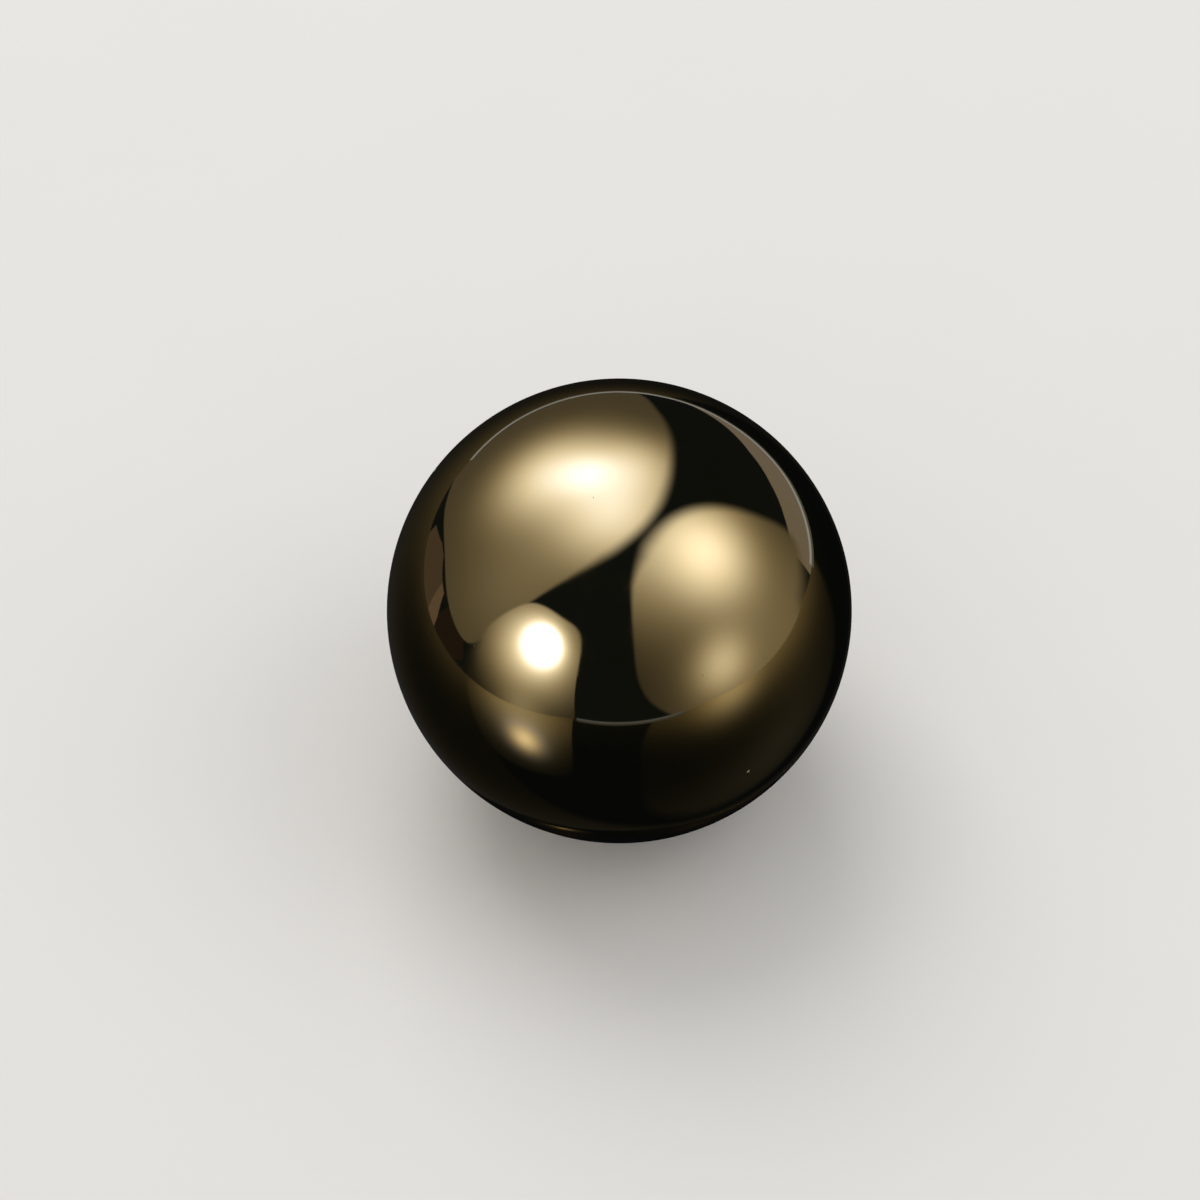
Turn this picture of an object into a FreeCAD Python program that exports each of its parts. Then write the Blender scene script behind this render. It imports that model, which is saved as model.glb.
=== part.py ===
import FreeCAD, Part
import math
import os

# A steel ball with a mirror finish, made as the real one is: a slug of bar is headed into a rough
# ball between two hemispherical dies, its flash is ground away, and it is hardened, lapped between
# grooved plates and polished. Every step takes metal off one piece, so the ball is one solid, with
# no seam, bore, flat or shell. The gold-toned coat is a film of about a micrometre, which is a
# finish and not a body of its own.
#
# Millimetres, +Z up. The origin is the centre of the ball, where every measure of a ball starts.

# Driving dimension
ball_diameter = 40.0  # over the polished surface, the same along every axis

# Worked out from it
ball_radius = ball_diameter / 2.0
ball_centre = FreeCAD.Vector(0.0, 0.0, 0.0)

# How far the solid may be from the ideal ball, as a share of its volume and of its radius
volume_tolerance = 1.0e-6
centre_tolerance = 1.0e-6


def make_ball():
    """The whole ball, turned about Z, so its two poles are its highest and lowest points."""
    return Part.makeSphere(ball_radius, ball_centre)


def check_ball(ball):
    """Stops the build unless the shape is one closed ball of the stated diameter, on its centre."""
    ideal_volume = math.pi * ball_diameter**3 / 6.0
    if not ball.isValid() or not ball.isClosed() or len(ball.Solids) != 1:
        raise ValueError("the ball is not one valid closed solid")
    if abs(ball.Volume / ideal_volume - 1.0) > volume_tolerance:
        raise ValueError("the ball does not have the volume that its diameter gives")
    if ball.CenterOfMass.distanceToPoint(ball_centre) > centre_tolerance * ball_radius:
        raise ValueError("the ball is not on its centre")


def write_node(node, shape):
    """One STEP file for each piece of the object, named after its node."""
    os.makedirs("parts", exist_ok=True)
    shape.exportStep(os.path.join("parts", node + ".step"))
    print(f"{node}: {shape.Volume / 1000.0:.3f} cm3, surface {shape.Area / 100.0:.3f} cm2")


ball = make_ball()
check_ball(ball)
write_node("ball", ball)
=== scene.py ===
# %% [markdown]
# # A polished steel ball with a gold-toned coat
#
# The real object is one piece of metal. A slug of bar is headed into a ball, ground, hardened,
# lapped between grooved plates, polished to a mirror and given a gold-toned coat a micrometre
# thick. There is nothing to take apart, so the whole lesson is about three things: a surface that
# is truly round, a finish that holds up at close range, and a studio worth looking at in a mirror.
#
# A mirror has almost no look of its own. What a person sees in it is the room, so the room is
# built with the same care as the ball: three soft lamps, low strips of dim wall, and a sheet of
# black acrylic. Only the ball sees these. The table that a person sees is plain and pale.

# %% Frame
import math

import bpy
from mathutils import Euler, Matrix, Vector


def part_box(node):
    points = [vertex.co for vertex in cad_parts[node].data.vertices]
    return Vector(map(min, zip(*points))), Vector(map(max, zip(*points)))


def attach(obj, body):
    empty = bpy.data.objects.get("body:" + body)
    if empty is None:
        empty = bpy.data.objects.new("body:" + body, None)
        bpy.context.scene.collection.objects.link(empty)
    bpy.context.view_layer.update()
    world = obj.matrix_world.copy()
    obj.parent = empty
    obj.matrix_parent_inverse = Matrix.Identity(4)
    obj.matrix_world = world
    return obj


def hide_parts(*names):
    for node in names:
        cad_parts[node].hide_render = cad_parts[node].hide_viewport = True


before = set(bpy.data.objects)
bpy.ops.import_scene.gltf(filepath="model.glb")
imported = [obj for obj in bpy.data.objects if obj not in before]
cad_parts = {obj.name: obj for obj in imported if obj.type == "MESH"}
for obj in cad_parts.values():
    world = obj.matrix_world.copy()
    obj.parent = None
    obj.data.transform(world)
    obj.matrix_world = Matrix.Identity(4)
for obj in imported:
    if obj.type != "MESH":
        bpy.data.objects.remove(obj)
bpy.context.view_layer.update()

ball_low, ball_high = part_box("ball")
BALL_RADIUS = (ball_high.z - ball_low.z) / 2.0
BALL_CENTRE = Vector((0.0, 0.0, ball_low.z + BALL_RADIUS))
TABLE_LEVEL = ball_low.z
print(f"ball radius {BALL_RADIUS * 1000:.3f} mm, table level {TABLE_LEVEL * 1000:.3f} mm")

# %% [markdown]
# ## The camera
#
# The camera looks down on the ball from the front, from about nineteen ball radii away. At that
# distance the ball shows less than its full half, and the far edge of the table stands close
# inside its rim, so the distance matters as much as the angle. A long lens fills the frame. The
# aim is a hair off the ball's centre and the camera leans a degree, as a hand-set tripod does.

# %% Camera
CAMERA_DISTANCE = 19.4  # ball radii from the ball's centre
CAMERA_ELEVATION = math.radians(50.6)
CAMERA_LENS = 135.15  # mm
CAMERA_SENSOR = 36.0  # mm wide
CAMERA_SEES_TO = 20.0  # metres, well past the table's far edge
AIM_UP = math.radians(0.138)
AIM_LEFT = math.radians(0.245)
CAMERA_LEAN = math.radians(-1.32)


def direction(azimuth, elevation):
    """A unit vector. Azimuth 0 points to the front of the scene, -Y, and 90 to the right, +X."""
    return Vector((
        math.sin(azimuth) * math.cos(elevation),
        -math.cos(azimuth) * math.cos(elevation),
        math.sin(elevation),
    ))


def make_camera():
    """The main view of the ball."""
    data = bpy.data.cameras.new("front_camera")
    data.sensor_width = CAMERA_SENSOR
    data.lens = CAMERA_LENS
    data.clip_start = BALL_RADIUS
    data.clip_end = CAMERA_SEES_TO
    camera = bpy.data.objects.new("front_camera", data)
    bpy.context.scene.collection.objects.link(camera)
    back = direction(0.0, CAMERA_ELEVATION)
    level = (-back).to_track_quat("-Z", "Y")
    camera.location = BALL_CENTRE + back * CAMERA_DISTANCE * BALL_RADIUS
    camera.rotation_mode = "QUATERNION"
    camera.rotation_quaternion = level @ Euler((AIM_UP, AIM_LEFT, CAMERA_LEAN)).to_quaternion()
    return camera


camera = make_camera()
bpy.context.scene.camera = camera
print(f"camera {CAMERA_DISTANCE * BALL_RADIUS * 1000:.0f} mm from the ball's centre")

# %% [markdown]
# ## Shader maths that reads like maths
#
# Every finish below is a formula over the surface. Wiring Math nodes by hand hides the formula, so
# one small class wraps a socket and lets Python's own operators add the nodes. A second helper
# adds any other node from its type, its settings and the values or links of its sockets.

# %% Shader helpers
class Wire:
    """One output socket of a node tree. On it, + - * / and ** add Math nodes."""

    def __init__(self, tree, socket):
        self.tree = tree
        self.socket = socket

    def _math(self, operation, *terms, clamp=False):
        node = self.tree.nodes.new("ShaderNodeMath")
        node.operation = operation
        node.use_clamp = clamp
        for slot, term in zip(node.inputs, terms):
            plug(self.tree, slot, term)
        return Wire(self.tree, node.outputs[0])

    def __add__(self, other):
        return self._math("ADD", self, other)

    __radd__ = __add__

    def __sub__(self, other):
        return self._math("SUBTRACT", self, other)

    def __rsub__(self, other):
        return self._math("SUBTRACT", other, self)

    def __mul__(self, other):
        return self._math("MULTIPLY", self, other)

    __rmul__ = __mul__

    def __truediv__(self, other):
        return self._math("DIVIDE", self, other)

    def __pow__(self, other):
        return self._math("POWER", self, other)

    def clamp(self):
        """The same value, held between 0 and 1."""
        return self._math("ADD", self, 0.0, clamp=True)

    def exp(self):
        """e to the power of this value."""
        return self._math("EXPONENT", self)

    def between(self, low, high):
        """0 up to low, 1 from high on, with a smooth rise between them."""
        share = ((self - low) / (high - low)).clamp()
        return share * share * (3.0 - 2.0 * share)


def plug(tree, slot, value):
    """Links a wire to a socket, or sets a plain value on it."""
    if isinstance(value, Wire):
        tree.links.new(value.socket, slot)
    else:
        slot.default_value = value


class Bench:
    """A node tree with one method that adds any node."""

    def __init__(self, tree):
        self.tree = tree
        tree.nodes.clear()

    def add(self, kind, settings=None, output=0, **values):
        """A node of that kind. Its settings come first, then its sockets by name."""
        node = self.tree.nodes.new(kind)
        for name, value in (settings or {}).items():
            setattr(node, name, value)
        for name, value in values.items():
            plug(self.tree, node.inputs[name.replace("_", " ")], value)
        return None if output is None else Wire(self.tree, node.outputs[output])

    def vector(self, operation, first, second=None, output=0):
        """A Vector Math node on one or two vectors."""
        node = self.tree.nodes.new("ShaderNodeVectorMath")
        node.operation = operation
        plug(self.tree, node.inputs[0], first)
        if second is not None:
            plug(self.tree, node.inputs[1], second)
        return Wire(self.tree, node.outputs[output])

    def blend(self, factor, first, second):
        """One colour turning into another as the factor goes from 0 to 1."""
        node = self.tree.nodes.new("ShaderNodeMix")
        node.data_type = "RGBA"
        in_use = [slot for slot in node.inputs if slot.enabled]
        for slot, value in zip(in_use, (factor, first, second)):
            plug(self.tree, slot, value)
        return Wire(self.tree, next(slot for slot in node.outputs if slot.enabled))

    def mix_shader(self, factor, first, second):
        """One shader turning into another as the factor goes from 0 to 1."""
        node = self.tree.nodes.new("ShaderNodeMixShader")
        for slot, value in zip(node.inputs, (factor, first, second)):
            plug(self.tree, slot, value)
        return Wire(self.tree, node.outputs[0])


def material_bench(name):
    """A new material, and a bench for its nodes."""
    material = bpy.data.materials.new(name)
    material.use_nodes = True
    return material, Bench(material.node_tree)


print("shader helpers ready")

# %% [markdown]
# ## The gold-toned mirror
#
# Gold keeps most red light, three quarters of the green and under half of the blue, so one base
# colour with Metallic at 1 makes the metal. What keeps it from looking computed is small: lapping
# leaves hair-fine marks that run every way, the polish has the faintest orange peel, the coat is a
# little thicker in places and turns redder there, and dust settles on the upper half, because
# nobody wipes a ball just before it is used. Each is a pattern on Object coordinates, so the finish
# needs no seam and looks the same from every side.

# %% Gold mirror finish
MM = 0.001
THIN_COAT = (0.99, 0.760, 0.385, 1.0)
THICK_COAT = (0.98, 0.735, 0.350, 1.0)
DUST_COLOUR = (0.62, 0.58, 0.52, 1.0)
MIRROR_ROUGHNESS = 0.035
HAZE_ROUGHNESS = 0.075
DUST_ROUGHNESS = 0.8
# A pair of numbers is where a pattern's value starts to count and where it counts in full.
CLOUD_SIZE = 16 * MM
CLOUD_EDGES = (0.38, 0.64)
HAZE_SIZE = 9 * MM
HAZE_EDGES = (0.52, 0.74)
MARK_WIDTH = 0.30 * MM
MARK_CRESTS = (0.66, 0.80)
MARK_SQUASH = 0.06  # a mark is about a sixteenth as wide as it is long
MARK_TURNS = ((0.4, 0.9, 0.2), (1.3, -0.5, 0.8))  # radians about X, Y and Z
DUST_CELL = 1.9 * MM
DUSTY_CELLS = (0.93, 0.95)  # so about one cell in seventeen holds a mote
UPPER_SIDE = (-0.35, 0.55)  # heights above the ball's centre, in ball radii
MOTE_SIZE = 0.015  # measured on the eased distance from the cell's middle
MOTE_GROWTH = 0.02
MOTE_EDGE = (0.0, 0.35)
PEEL_SIZE = 3.2 * MM
PEEL_HEIGHT = 0.0012 * MM
MARK_DEPTH = 0.0004 * MM
MOTE_HEIGHT = 0.03 * MM


def gold_mirror_finish():
    """The finish of the whole ball."""
    material, bench = material_bench("gold_mirror_finish")
    place = bench.add("ShaderNodeTexCoord", output="Object")

    # The coat: broad clouds, a few across the ball.
    clouds = bench.add("ShaderNodeTexNoise", Vector=place, Scale=1 / CLOUD_SIZE, Detail=3.0)
    coat = bench.blend(clouds.between(*CLOUD_EDGES), THIN_COAT, THICK_COAT)

    # Haze: a little finer than the clouds, where a cloth has left the polish softer.
    wiped = bench.add("ShaderNodeTexNoise", Vector=place, Scale=1 / HAZE_SIZE, Detail=5.0, Distortion=0.6)
    haze_and_painted_glow = wiped.between(*HAZE_EDGES)

    # Lapping marks: the thin crests of a stretched noise, laid in two directions.
    marks = 0.0
    for turn in MARK_TURNS:
        laid = bench.add("ShaderNodeMapping", Vector=place, Rotation=turn, Scale=(1.0, 1.0, MARK_SQUASH))
        grain = bench.add("ShaderNodeTexNoise", Vector=laid, Scale=1 / MARK_WIDTH, Detail=2.0)
        marks = grain.between(*MARK_CRESTS) + marks

    # Dust: one mote in some cells, smaller than the cell, and only on the upper side.
    cell = {"Vector": place, "Scale": 1 / DUST_CELL}
    from_middle = bench.add("ShaderNodeTexVoronoi", {"feature": "F1"}, output="Distance", **cell)
    middle = bench.add("ShaderNodeTexVoronoi", {"feature": "F1"}, output="Position", **cell)
    picked = bench.add("ShaderNodeTexWhiteNoise", {"noise_dimensions": "3D"}, output="Value", Vector=middle)
    height = bench.add("ShaderNodeSeparateXYZ", output="Z", Vector=place)
    upper = (height / BALL_RADIUS).between(*UPPER_SIDE)
    size = MOTE_SIZE + MOTE_GROWTH * picked ** 8.0
    mote = (1.0 - from_middle.between(0.0, 1.0) / size).clamp().between(*MOTE_EDGE)
    dust = mote * picked.between(*DUSTY_CELLS) * upper

    # Relief, in metres: faint orange peel, marks that are cut in, and motes that stand up.
    peel = bench.add("ShaderNodeTexNoise", Vector=place, Scale=1 / PEEL_SIZE, Detail=2.0)
    relief = peel * PEEL_HEIGHT - marks * MARK_DEPTH + dust * MOTE_HEIGHT
    bumped = bench.add("ShaderNodeBump", Height=relief, Strength=1.0, Distance=1.0)

    surface = bench.add(
        "ShaderNodeBsdfPrincipled", output="BSDF",
        Base_Color=bench.blend(dust, coat, DUST_COLOUR),
        Metallic=1.0 - dust,
        Roughness=MIRROR_ROUGHNESS + (HAZE_ROUGHNESS - MIRROR_ROUGHNESS) * haze_and_painted_glow + dust * DUST_ROUGHNESS,
        Normal=bumped,
    )
    bench.add("ShaderNodeOutputMaterial", output=None, Surface=surface)
    return material


gold = gold_mirror_finish()
print(f"gold mirror finish: {len(gold.node_tree.nodes)} nodes")

# %% [markdown]
# ## The ball
#
# A bearing ball is round to a fraction of a micrometre, and a mirror shows every facet, so the mesh
# has to be fine and even. A UV sphere crowds its faces at two poles, which pinch a reflection. This
# ball starts as a cube of small square cells. Each point is slid along its face by the tangent of
# its place, which evens out the cells, and is then pushed out to the radius. The rule takes one
# Geometry Nodes tree with two inputs: the radius, and the number of cells along a cube edge. An
# even number puts a point exactly where the ball touches the table.

# %% Ball tree
CELLS_ALONG_EDGE = 120


def tree_input(tree, name, kind, value):
    """A named input of a Geometry Nodes tree."""
    entry = tree.interface.new_socket(name=name, in_out="INPUT", socket_type=kind)
    entry.default_value = value
    return entry


def cubed_ball_tree(material):
    """A tree that makes a sphere out of a cube's evenly spaced cells."""
    tree = bpy.data.node_groups.new("cubed_ball", "GeometryNodeTree")
    radius = tree_input(tree, "Radius", "NodeSocketFloat", BALL_RADIUS)
    cells = tree_input(tree, "Cells along an edge", "NodeSocketInt", CELLS_ALONG_EDGE)
    tree.interface.new_socket(name="Ball", in_out="OUTPUT", socket_type="NodeSocketGeometry")
    bench = Bench(tree)
    asked = tree.nodes.new("NodeGroupInput")
    radius_in = Wire(tree, asked.outputs["Radius"])
    points = Wire(tree, asked.outputs["Cells along an edge"]) + 1.0

    cube = bench.add("GeometryNodeMeshCube", output="Mesh", Size=(2.0, 2.0, 2.0),
                     Vertices_X=points, Vertices_Y=points, Vertices_Z=points)
    place = bench.add("GeometryNodeInputPosition", output="Position")
    eighth_turn = (math.pi / 4,) * 3
    evened = bench.vector("TANGENT", bench.vector("MULTIPLY", place, eighth_turn))
    unit = bench.vector("NORMALIZE", evened)
    scaled = bench.vector("MULTIPLY", unit, bench.add("ShaderNodeCombineXYZ", output="Vector",
                                                      X=radius_in, Y=radius_in, Z=radius_in))
    rounded = bench.add("GeometryNodeSetPosition", output="Geometry", Geometry=cube, Position=scaled)
    smooth = bench.add("GeometryNodeSetShadeSmooth", output="Geometry", Geometry=rounded)
    real = bench.add("GeometryNodeRealizeInstances", output="Geometry", Geometry=smooth)
    finished = bench.add("GeometryNodeSetMaterial", output="Geometry", Geometry=real, Material=material)
    bench.add("NodeGroupOutput", output=None, Ball=finished)
    return tree, {"radius": radius.identifier, "cells": cells.identifier}


def solid_from_tree(name, tree, values):
    """Runs a tree with those inputs and keeps the result as a plain mesh object."""
    empty = bpy.data.meshes.new(name + "_start")
    holder = bpy.data.objects.new(name + "_holder", empty)
    bpy.context.scene.collection.objects.link(holder)
    modifier = holder.modifiers.new("build", "NODES")
    modifier.node_group = tree
    for identifier, value in values.items():
        modifier[identifier] = value
    shape = holder.evaluated_get(bpy.context.evaluated_depsgraph_get())
    mesh = bpy.data.meshes.new_from_object(shape)
    mesh.name = name
    bpy.data.objects.remove(holder)
    bpy.data.meshes.remove(empty)
    solid = bpy.data.objects.new(name, mesh)
    bpy.context.scene.collection.objects.link(solid)
    return solid


ball_tree, ball_inputs = cubed_ball_tree(gold)
ball = solid_from_tree("mirror_ball", ball_tree, {
    ball_inputs["radius"]: BALL_RADIUS,
    ball_inputs["cells"]: CELLS_ALONG_EDGE,
})
ball.data.transform(Matrix.Translation(BALL_CENTRE))
reach = [(corner.co - BALL_CENTRE).length / MM for corner in ball.data.vertices]
print(f"ball: {len(ball.data.polygons)} faces, radius {min(reach):.4f} to {max(reach):.4f} mm")

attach(ball, "root")
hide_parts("ball")

# %% [markdown]
# ## The lamps that the ball sees
#
# Three cloth-fronted lamps stand round the ball: a large one leaning over it from behind on the
# left, a slim one at the front left and a wide one on the right. A cloth front is never evenly
# bright. It is brightest where the tube stands behind it and fades towards the frame, and in a
# mirror that fading is most of what tells the eye that the light is soft. Each panel here is a
# patch of a large sphere round the ball with a rounded outline, and its light is a dim even glow
# plus a few round hot spots. The panels are seen only in the ball. The table gets its light from
# ordinary area lamps further on.

# %% Lamp light
# A camera shows dim light warm and hot light nearly white, so the colour follows the level.
DIM_COLOUR = (1.0, 0.94, 0.80, 1.0)
LIT_COLOUR = (1.0, 1.02, 1.08, 1.0)
WHITE_HOT = (1.0, 1.18, 1.85, 1.0)
CREAM_HOT = (1.0, 1.07, 1.36, 1.0)
PALE_HOT = (1.0, 1.06, 1.50, 1.0)
CORE_COLOUR = (1.0, 1.02, 1.15, 1.0)
LIT_LEVELS = (0.05, 0.6)  # from the dim colour to the lit one
HOT_LEVELS = (0.5, 1.5)  # from the lit colour to the lamp's own hot one
CORE_LEVELS = (1.8, 5.0)  # from the hot colour to the core's


def only_in_mirror(thing):
    """Lets an object show in the ball and light nothing else."""
    thing.visible_camera = False
    thing.visible_diffuse = False
    thing.visible_shadow = False
    thing.visible_transmission = False
    thing.visible_volume_scatter = False


def cloth_light(name, glow, hot_colour, hot_spots):
    """A lit cloth: an even glow, and round hot spots of (azimuth, elevation, spread, strength)."""
    material, bench = material_bench(name)
    place = bench.add("ShaderNodeTexCoord", output="Object")
    outward = bench.vector("NORMALIZE", place)
    level = glow
    for azimuth, elevation, spread, strength in hot_spots:
        aim = direction(math.radians(azimuth), math.radians(elevation))
        alike = bench.vector("DOT_PRODUCT", outward, tuple(aim), output="Value")
        level = ((alike - 1.0) * (2.0 / math.radians(spread) ** 2)).exp() * strength + level
    warmed = bench.blend(level.between(*LIT_LEVELS), DIM_COLOUR, LIT_COLOUR)
    heated = bench.blend(level.between(*HOT_LEVELS), warmed, hot_colour)
    colour = bench.blend(level.between(*CORE_LEVELS), heated, CORE_COLOUR)
    inside = bench.add("ShaderNodeAttribute", {"attribute_name": "inside"}, output="Fac")
    light = bench.add("ShaderNodeEmission", output="Emission", Color=colour, Strength=level)
    clear = bench.add("ShaderNodeBsdfTransparent", output="BSDF")
    bench.add("ShaderNodeOutputMaterial", output=None,
              Surface=bench.mix_shader(inside.between(0.0, 1.0), clear, light))
    material.cycles.emission_sampling = "NONE"
    return material


overhead_light = cloth_light("overhead_lamp_cloth", glow=0.055, hot_colour=WHITE_HOT, hot_spots=(
    (-165, 80, 24, 0.85), (-145, 45, 20, 0.85), (-160, 56, 10, 0.35), (170, 54, 17, 0.5),
    (-75, 40, 30, 0.09),
))
slim_light = cloth_light("slim_lamp_cloth", glow=0.01, hot_colour=PALE_HOT, hot_spots=(
    (-46, 21, 18, 0.83), (-44, -10, 9, 0.14), (-42, 24, 9, 1.9), (-42, 25, 5.5, 13),
))
wide_light = cloth_light("wide_lamp_cloth", glow=0.005, hot_colour=CREAM_HOT, hot_spots=(
    (85, 48, 20, 0.9), (70, 75, 32, 0.4), (49, 9, 13, 0.42), (75, 2, 45, 0.15),
))
print("three cloth lights")

# %% [markdown]
# ## The lamps' outlines
#
# Each outline is a smooth closed line through a few directions on the lamp's frame, as seen from
# the ball. The cloth is a fan of rings inside it, all at one distance, so its light can be worked
# out from direction alone. The three distances differ a little, so that where two lamps overlap the
# nearer one covers the other.

# %% Lamp panels
PANEL_RINGS = 20
PANEL_STEPS_PER_SPAN = 10


def smooth_loop(stations, steps):
    """A closed Catmull-Rom line through (azimuth, elevation, softness), as (unit vector, softness)."""
    knots = [
        (direction(math.radians(azimuth), math.radians(elevation)), softness)
        for azimuth, elevation, softness in stations
    ]
    loop = []
    count = len(knots)
    for index in range(count):
        before, start, end, after = (knots[(index + shift) % count][0] for shift in (-1, 0, 1, 2))
        soft_start, soft_end = knots[index][1], knots[(index + 1) % count][1]
        for step in range(steps):
            t = step / steps
            point = (
                2 * start
                + (end - before) * t
                + (2 * before - 5 * start + 4 * end - after) * t ** 2
                + (3 * start - before - 3 * end + after) * t ** 3
            ).normalized()
            loop.append((point, soft_start + (soft_end - soft_start) * t))
    return loop


def stage_mesh(name, corners, faces, material):
    """A mesh of the studio, which isn't part of the ball."""
    mesh = bpy.data.meshes.new(name)
    mesh.from_pydata([tuple(corner) for corner in corners], [], faces)
    mesh.materials.append(material)
    thing = bpy.data.objects.new(name, mesh)
    bpy.context.scene.collection.objects.link(thing)
    return thing


def lamp_panel(name, material, distance, stations):
    """A lit cloth that many ball radii away. Its light fades over a share of the way in at each station."""
    outline = smooth_loop(stations, PANEL_STEPS_PER_SPAN)
    middle = sum((point for point, _ in outline), Vector()).normalized()
    count = len(outline)
    reach = distance * BALL_RADIUS
    corners = [BALL_CENTRE + middle * reach]
    inside = [1.0]
    faces = []
    for ring in range(1, PANEL_RINGS + 1):
        share = 1.0 - (1.0 - ring / PANEL_RINGS) ** 2  # the rings crowd towards the edge, where light fades
        for spoke, (edge, softness) in enumerate(outline):
            corners.append(BALL_CENTRE + middle.slerp(edge, share) * reach)
            inside.append(min(1.0, (1.0 - share) / softness))
            this = 1 + (ring - 1) * count + spoke
            following = 1 + (ring - 1) * count + (spoke + 1) % count
            if ring == 1:
                faces.append((0, this, following))
            else:
                faces.append((this - count, this, following, following - count))
    panel = stage_mesh(name, corners, faces, material)
    fading = panel.data.attributes.new("inside", "FLOAT", "POINT")
    fading.data.foreach_set("value", inside)
    only_in_mirror(panel)
    return panel


CRISP = 0.01
lamp_panel("overhead_lamp", overhead_light, distance=62.0, stations=(
    (-76, 0, CRISP), (-112, 3, CRISP), (-142, -8, CRISP), (-178, -14, CRISP), (168, 10, 0.04),
    (155, 32, 0.1), (131, 58, 0.17), (100, 73, 0.17), (30, 79, 0.18), (-20, 72, 0.17),
    (-48, 56, 0.07), (-63, 28, 0.03),
))
lamp_panel("slim_lamp", slim_light, distance=58.0, stations=(
    (-72, -22, 0.5), (-77, -6, 0.4), (-72, 16, 0.1), (-60, 38, 0.04), (-38, 42, 0.06), (-22, 36, 0.06),
    (-21, 10, CRISP), (-22, -22, CRISP), (-50, -30, CRISP),
))
lamp_panel("wide_lamp", wide_light, distance=60.0, stations=(
    (10, 62, 0.08), (7, 40, 0.04), (8, 14, 0.03), (18, -3, 0.04), (50, -22, CRISP), (80, -24, 0.1),
    (104, -14, 0.3), (118, -1, 0.1), (119, 20, 0.12), (122, 46, 0.18), (118, 65, 0.2),
    (80, 79, 0.25), (30, 76, 0.22),
))
print("three lamp panels")

# %% [markdown]
# ## The rest of what the ball sees
#
# The ball's lower half sees the sheet of black acrylic that it was set down on. Acrylic mirrors
# little straight down and a lot at a glance, so the lamps come back dim under the ball and bright
# near the horizon, and that dim second picture is what makes the ball look as if it stands on
# something. The sheet also has a faint painted glow, and its edges glow as a painted glint. Past
# the sheet's ends, low strips of a wall show. They glow evenly, except on the left, where the
# wall's light and shade are painted in: brighter at its edge and dim in its shade.

# %% Black plate and low strips
PLATE_CORNERS = (
    (-5.5, -13.7), (11.0, -13.7), (11.0, 1.5),
    (8.0, 3.0), (5.3, 6.0), (4.2, 9.5), (2.0, 12.5), (-8.5, 12.5),
)
FAR_RIM = PLATE_CORNERS[3:]
NEAR_RIM = ((-4.7, -13.7), (6.8, -13.7))
RIM_HEIGHT = 0.22
STRIP_DISTANCE = 66.0
# A faint bluish glow: painted light on the sheet, and the room's own light in the mirror.
FAINT_GLOW_COLOUR = (1.0, 1.40, 1.80, 1.0)
ACRYLIC_TINT = (1.0, 0.91, 0.70, 1.0)
ACRYLIC_PAINTED_GLOW = 0.002
ACRYLIC_ROUGHNESS = 0.06
MIRROR_HALF_AT = math.radians(8.5)  # the glance at which the sheet mirrors half of the light
MIRROR_FALL = 11.5  # how fast that share falls with a steeper look
MIRROR_FLOOR = 0.01  # the share that is left straight down
# The colour of the rims' painted glint.
RIM_GLINT_GREY = (1.0, 1.22, 1.90, 1.0)
WALL_GREY = (1.0, 0.97, 1.10, 1.0)
WALL_BROWN = (1.0, 0.80, 0.72, 1.0)


def black_acrylic():
    """Polished black acrylic: a warm mirror at a glance, and a faint painted glow under it."""
    material, bench = material_bench("black_acrylic")
    glance = bench.add("ShaderNodeLayerWeight", output="Facing", Blend=0.5)
    steepness = 1.0 - glance
    lift = (MIRROR_FALL * (math.sin(MIRROR_HALF_AT) - steepness)).exp()
    share = lift / (lift + 1.0) + MIRROR_FLOOR
    # The sheet's glow is painted light: an even emission in place of the dim light that acrylic sends back.
    haze_and_painted_glow = bench.add("ShaderNodeEmission", output="Emission", Color=FAINT_GLOW_COLOUR, Strength=ACRYLIC_PAINTED_GLOW)
    mirror = bench.add("ShaderNodeBsdfAnisotropic", output="BSDF", Color=ACRYLIC_TINT,
                       Roughness=ACRYLIC_ROUGHNESS)
    bench.add("ShaderNodeOutputMaterial", output=None, Surface=bench.mix_shader(share, haze_and_painted_glow, mirror))
    material.cycles.emission_sampling = "NONE"
    return material


def even_light(name, colour, strength):
    """A surface that glows evenly."""
    material, bench = material_bench(name)
    light = bench.add("ShaderNodeEmission", output="Emission", Color=colour, Strength=strength)
    bench.add("ShaderNodeOutputMaterial", output=None, Surface=light)
    material.cycles.emission_sampling = "NONE"
    return material


def table_point(x, y, z=0.0):
    """A place on the table, in ball radii from where the ball touches it."""
    return Vector((BALL_CENTRE.x, BALL_CENTRE.y, TABLE_LEVEL)) + Vector((x, y, z)) * BALL_RADIUS


plate = stage_mesh("black_plate", [table_point(x, y) for x, y in PLATE_CORNERS],
                   [tuple(range(len(PLATE_CORNERS)))], black_acrylic())
only_in_mirror(plate)


def lit_rim(name, line, material):
    """A thin upright rim along a line on the table. With a glowing material it is a painted glint of the
    sheet's edge.
    """
    corners = [table_point(x, y, z) for x, y in line for z in (0.0, RIM_HEIGHT)]
    faces = [(2 * i, 2 * i + 2, 2 * i + 3, 2 * i + 1) for i in range(len(line) - 1)]
    only_in_mirror(stage_mesh(name, corners, faces, material))


# The sheet's edges catch light: both rims glow as a painted glint, the far one brighter.
lit_rim("plate_far_rim", FAR_RIM, even_light("far_rim_glow", RIM_GLINT_GREY, strength=0.24))
lit_rim("plate_near_rim", NEAR_RIM, even_light("near_rim_glow", RIM_GLINT_GREY, strength=0.06))


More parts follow.
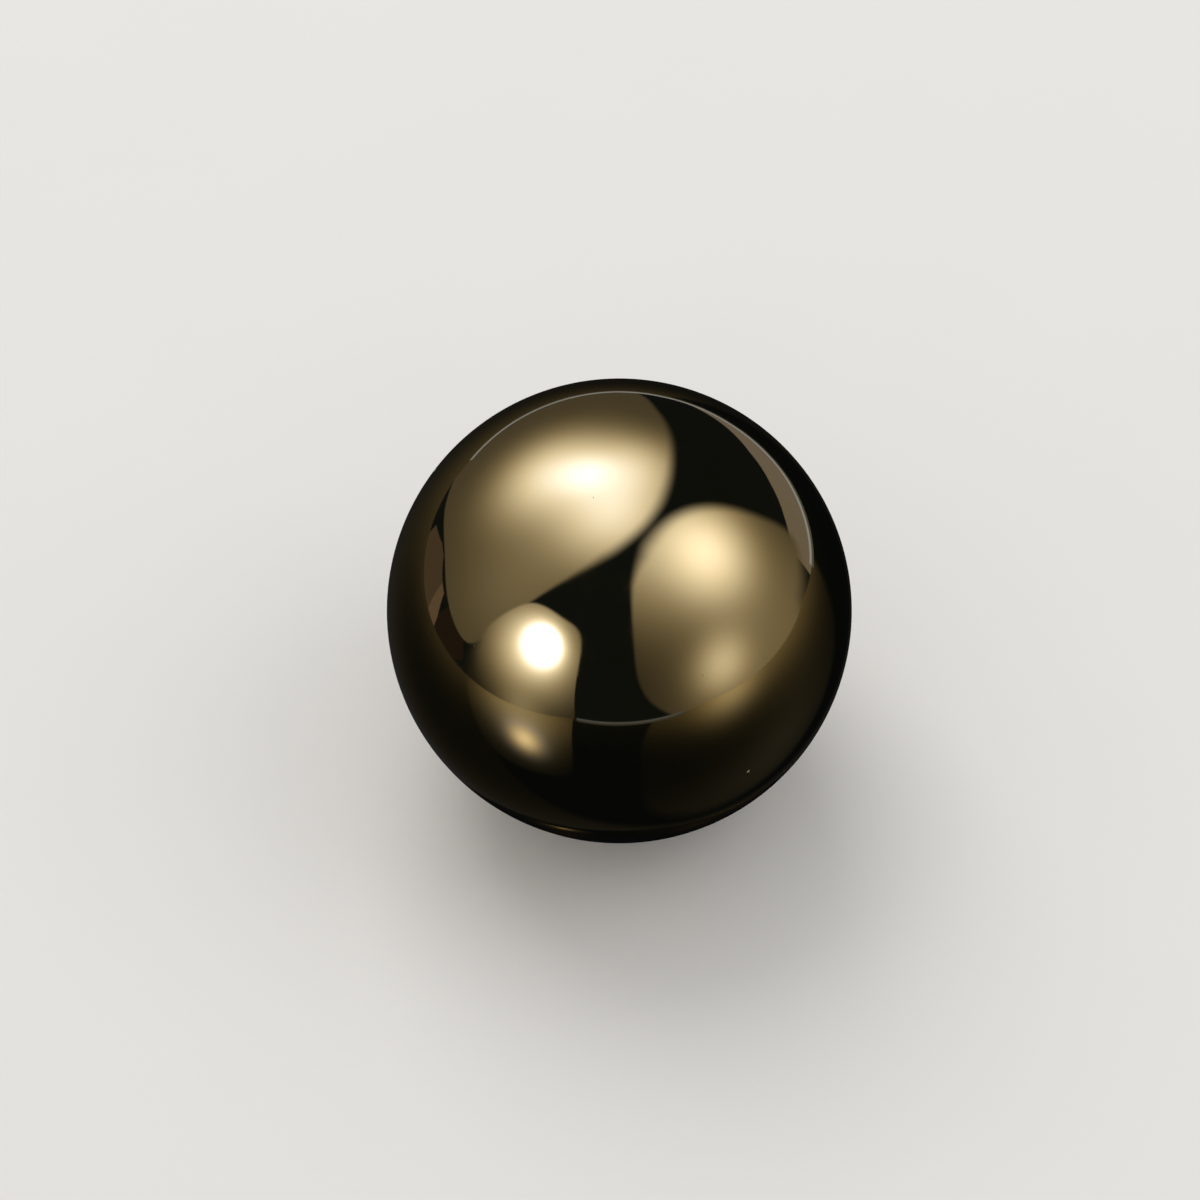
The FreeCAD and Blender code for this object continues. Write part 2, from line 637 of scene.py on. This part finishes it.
def low_strip(name, stations, material):
    """A strip near the horizon through stations of (azimuth, lowest, highest) in degrees."""
    corners = []
    for azimuth, low, high in stations:
        for elevation in (low, high):
            reach = direction(math.radians(azimuth), math.radians(elevation))
            corners.append(BALL_CENTRE + reach * STRIP_DISTANCE * BALL_RADIUS)
    faces = [(2 * i, 2 * i + 2, 2 * i + 3, 2 * i + 1) for i in range(len(stations) - 1)]
    only_in_mirror(stage_mesh(name, corners, faces, material))


low_strip("right_wall_strip", (
    (110, -18, 3), (122, -18, 4), (134, -18, 3.5), (146, -18, 1), (158, -16, -4.5), (170, -12, -9),
), even_light("right_wall", WALL_GREY, strength=0.13))
# The left wall: one colour glowing at three strengths, painted light with a brighter lit edge, and painted
# shade.
low_strip("left_wall_strip", (
    (-127, -14, -6), (-117, -14, 1), (-112, -14, 2.5), (-103, -14, 0.5),
), even_light("left_wall", WALL_BROWN, strength=0.05))
low_strip("left_wall_lit_edge", ((-103, -14, 0.5), (-99, -14, 0), (-96, -14, -8)),
          even_light("left_lit_edge", WALL_BROWN, strength=0.085))
low_strip("left_wall_shade", ((-96, -14, -6), (-92, -14, 3), (-80, -12, 2), (-76, -8, -6)),
          even_light("left_shade", WALL_BROWN, strength=0.012))
print("plate, rims and strips in place")

# %% [markdown]
# ## Table, lights and room
#
# The table that is seen is plain and pale, so the ball's outline reads all round. Two large area
# lamps light it from the sides where the panels are, so the soft shadow falls where the ball's
# highlights say it should. The room is pale to the eye and dark to the mirror: a studio keeps its
# walls dark where polished metal would show them.

# %% Table and room
TABLE_RADIUS = 3.4  # metres
TABLE_SIDES = 128
TABLE_COLOUR = (0.80, 0.79, 0.77, 1.0)
TABLE_ROUGHNESS = 0.9
MOTTLE_SIZE = 1 / 60  # metres
MOTTLE_DARKENING = 0.985
WHITE = (1.0, 1.0, 1.0, 1.0)
LAMP_WARMTH = (1.0, 0.985, 0.96)
ROOM_FILL = 0.66
BACKDROP_LIFT = 1.02  # the lamps brighten the table's far end by about this much
ROOM_IN_MIRROR = 0.0045


def pale_table():
    """Plain matt board with the faintest unevenness."""
    material, bench = material_bench("pale_table")
    place = bench.add("ShaderNodeTexCoord", output="Object")
    mottle = bench.add("ShaderNodeTexNoise", Vector=place, Scale=1 / MOTTLE_SIZE, Detail=4.0)
    darker = tuple(channel * MOTTLE_DARKENING for channel in TABLE_COLOUR[:3]) + (1.0,)
    surface = bench.add("ShaderNodeBsdfPrincipled", output="BSDF",
                        Base_Color=bench.blend(mottle, darker, TABLE_COLOUR),
                        Roughness=TABLE_ROUGHNESS, Specular_IOR_Level=0.0)
    bench.add("ShaderNodeOutputMaterial", output=None, Surface=surface)
    return material


table_edge = [direction(math.tau * turn / TABLE_SIDES, 0.0) * TABLE_RADIUS for turn in range(TABLE_SIDES)]
table = stage_mesh("table", [Vector((spot.x, spot.y, TABLE_LEVEL)) for spot in table_edge],
                   [tuple(reversed(range(TABLE_SIDES)))], pale_table())
table.visible_glossy = False
table.visible_shadow = False


def area_lamp(name, azimuth, elevation, distance, size, power):
    """A square lamp that faces the ball and doesn't show in it."""
    data = bpy.data.lights.new(name, "AREA")
    data.shape = "SQUARE"
    data.size = size
    data.energy = power
    data.color = LAMP_WARMTH
    lamp = bpy.data.objects.new(name, data)
    bpy.context.scene.collection.objects.link(lamp)
    back = direction(math.radians(azimuth), math.radians(elevation))
    lamp.location = BALL_CENTRE + back * distance
    lamp.rotation_mode = "QUATERNION"
    lamp.rotation_quaternion = (-back).to_track_quat("-Z", "Y")
    lamp.visible_camera = False
    lamp.visible_glossy = False


area_lamp("overhead_area_lamp", -157.0, 56.0, distance=1.3, size=0.9, power=6.2)
area_lamp("wide_area_lamp", 85.0, 48.0, distance=1.3, size=0.8, power=1.9)


def studio_room():
    """Pale to the eye, soft on the table, nearly black in the mirror."""
    world = bpy.data.worlds.new("studio_room")
    bpy.context.scene.world = world
    world.use_nodes = True
    bench = Bench(world.node_tree)
    ray = world.node_tree.nodes.new("ShaderNodeLightPath")
    seen = Wire(world.node_tree, ray.outputs["Is Camera Ray"])
    mirrored = Wire(world.node_tree, ray.outputs["Is Glossy Ray"])

    def wall(colour, strength):
        return bench.add("ShaderNodeBackground", output="Background", Color=colour, Strength=strength)

    pale = wall(TABLE_COLOUR, ROOM_FILL * BACKDROP_LIFT)
    fill = wall(WHITE, ROOM_FILL)
    dark = wall(FAINT_GLOW_COLOUR, ROOM_IN_MIRROR)
    bench.add("ShaderNodeOutputWorld", output=None,
              Surface=bench.mix_shader(seen, bench.mix_shader(mirrored, fill, dark), pale))


studio_room()
bpy.context.scene.view_settings.view_transform = "Standard"
print("studio ready")
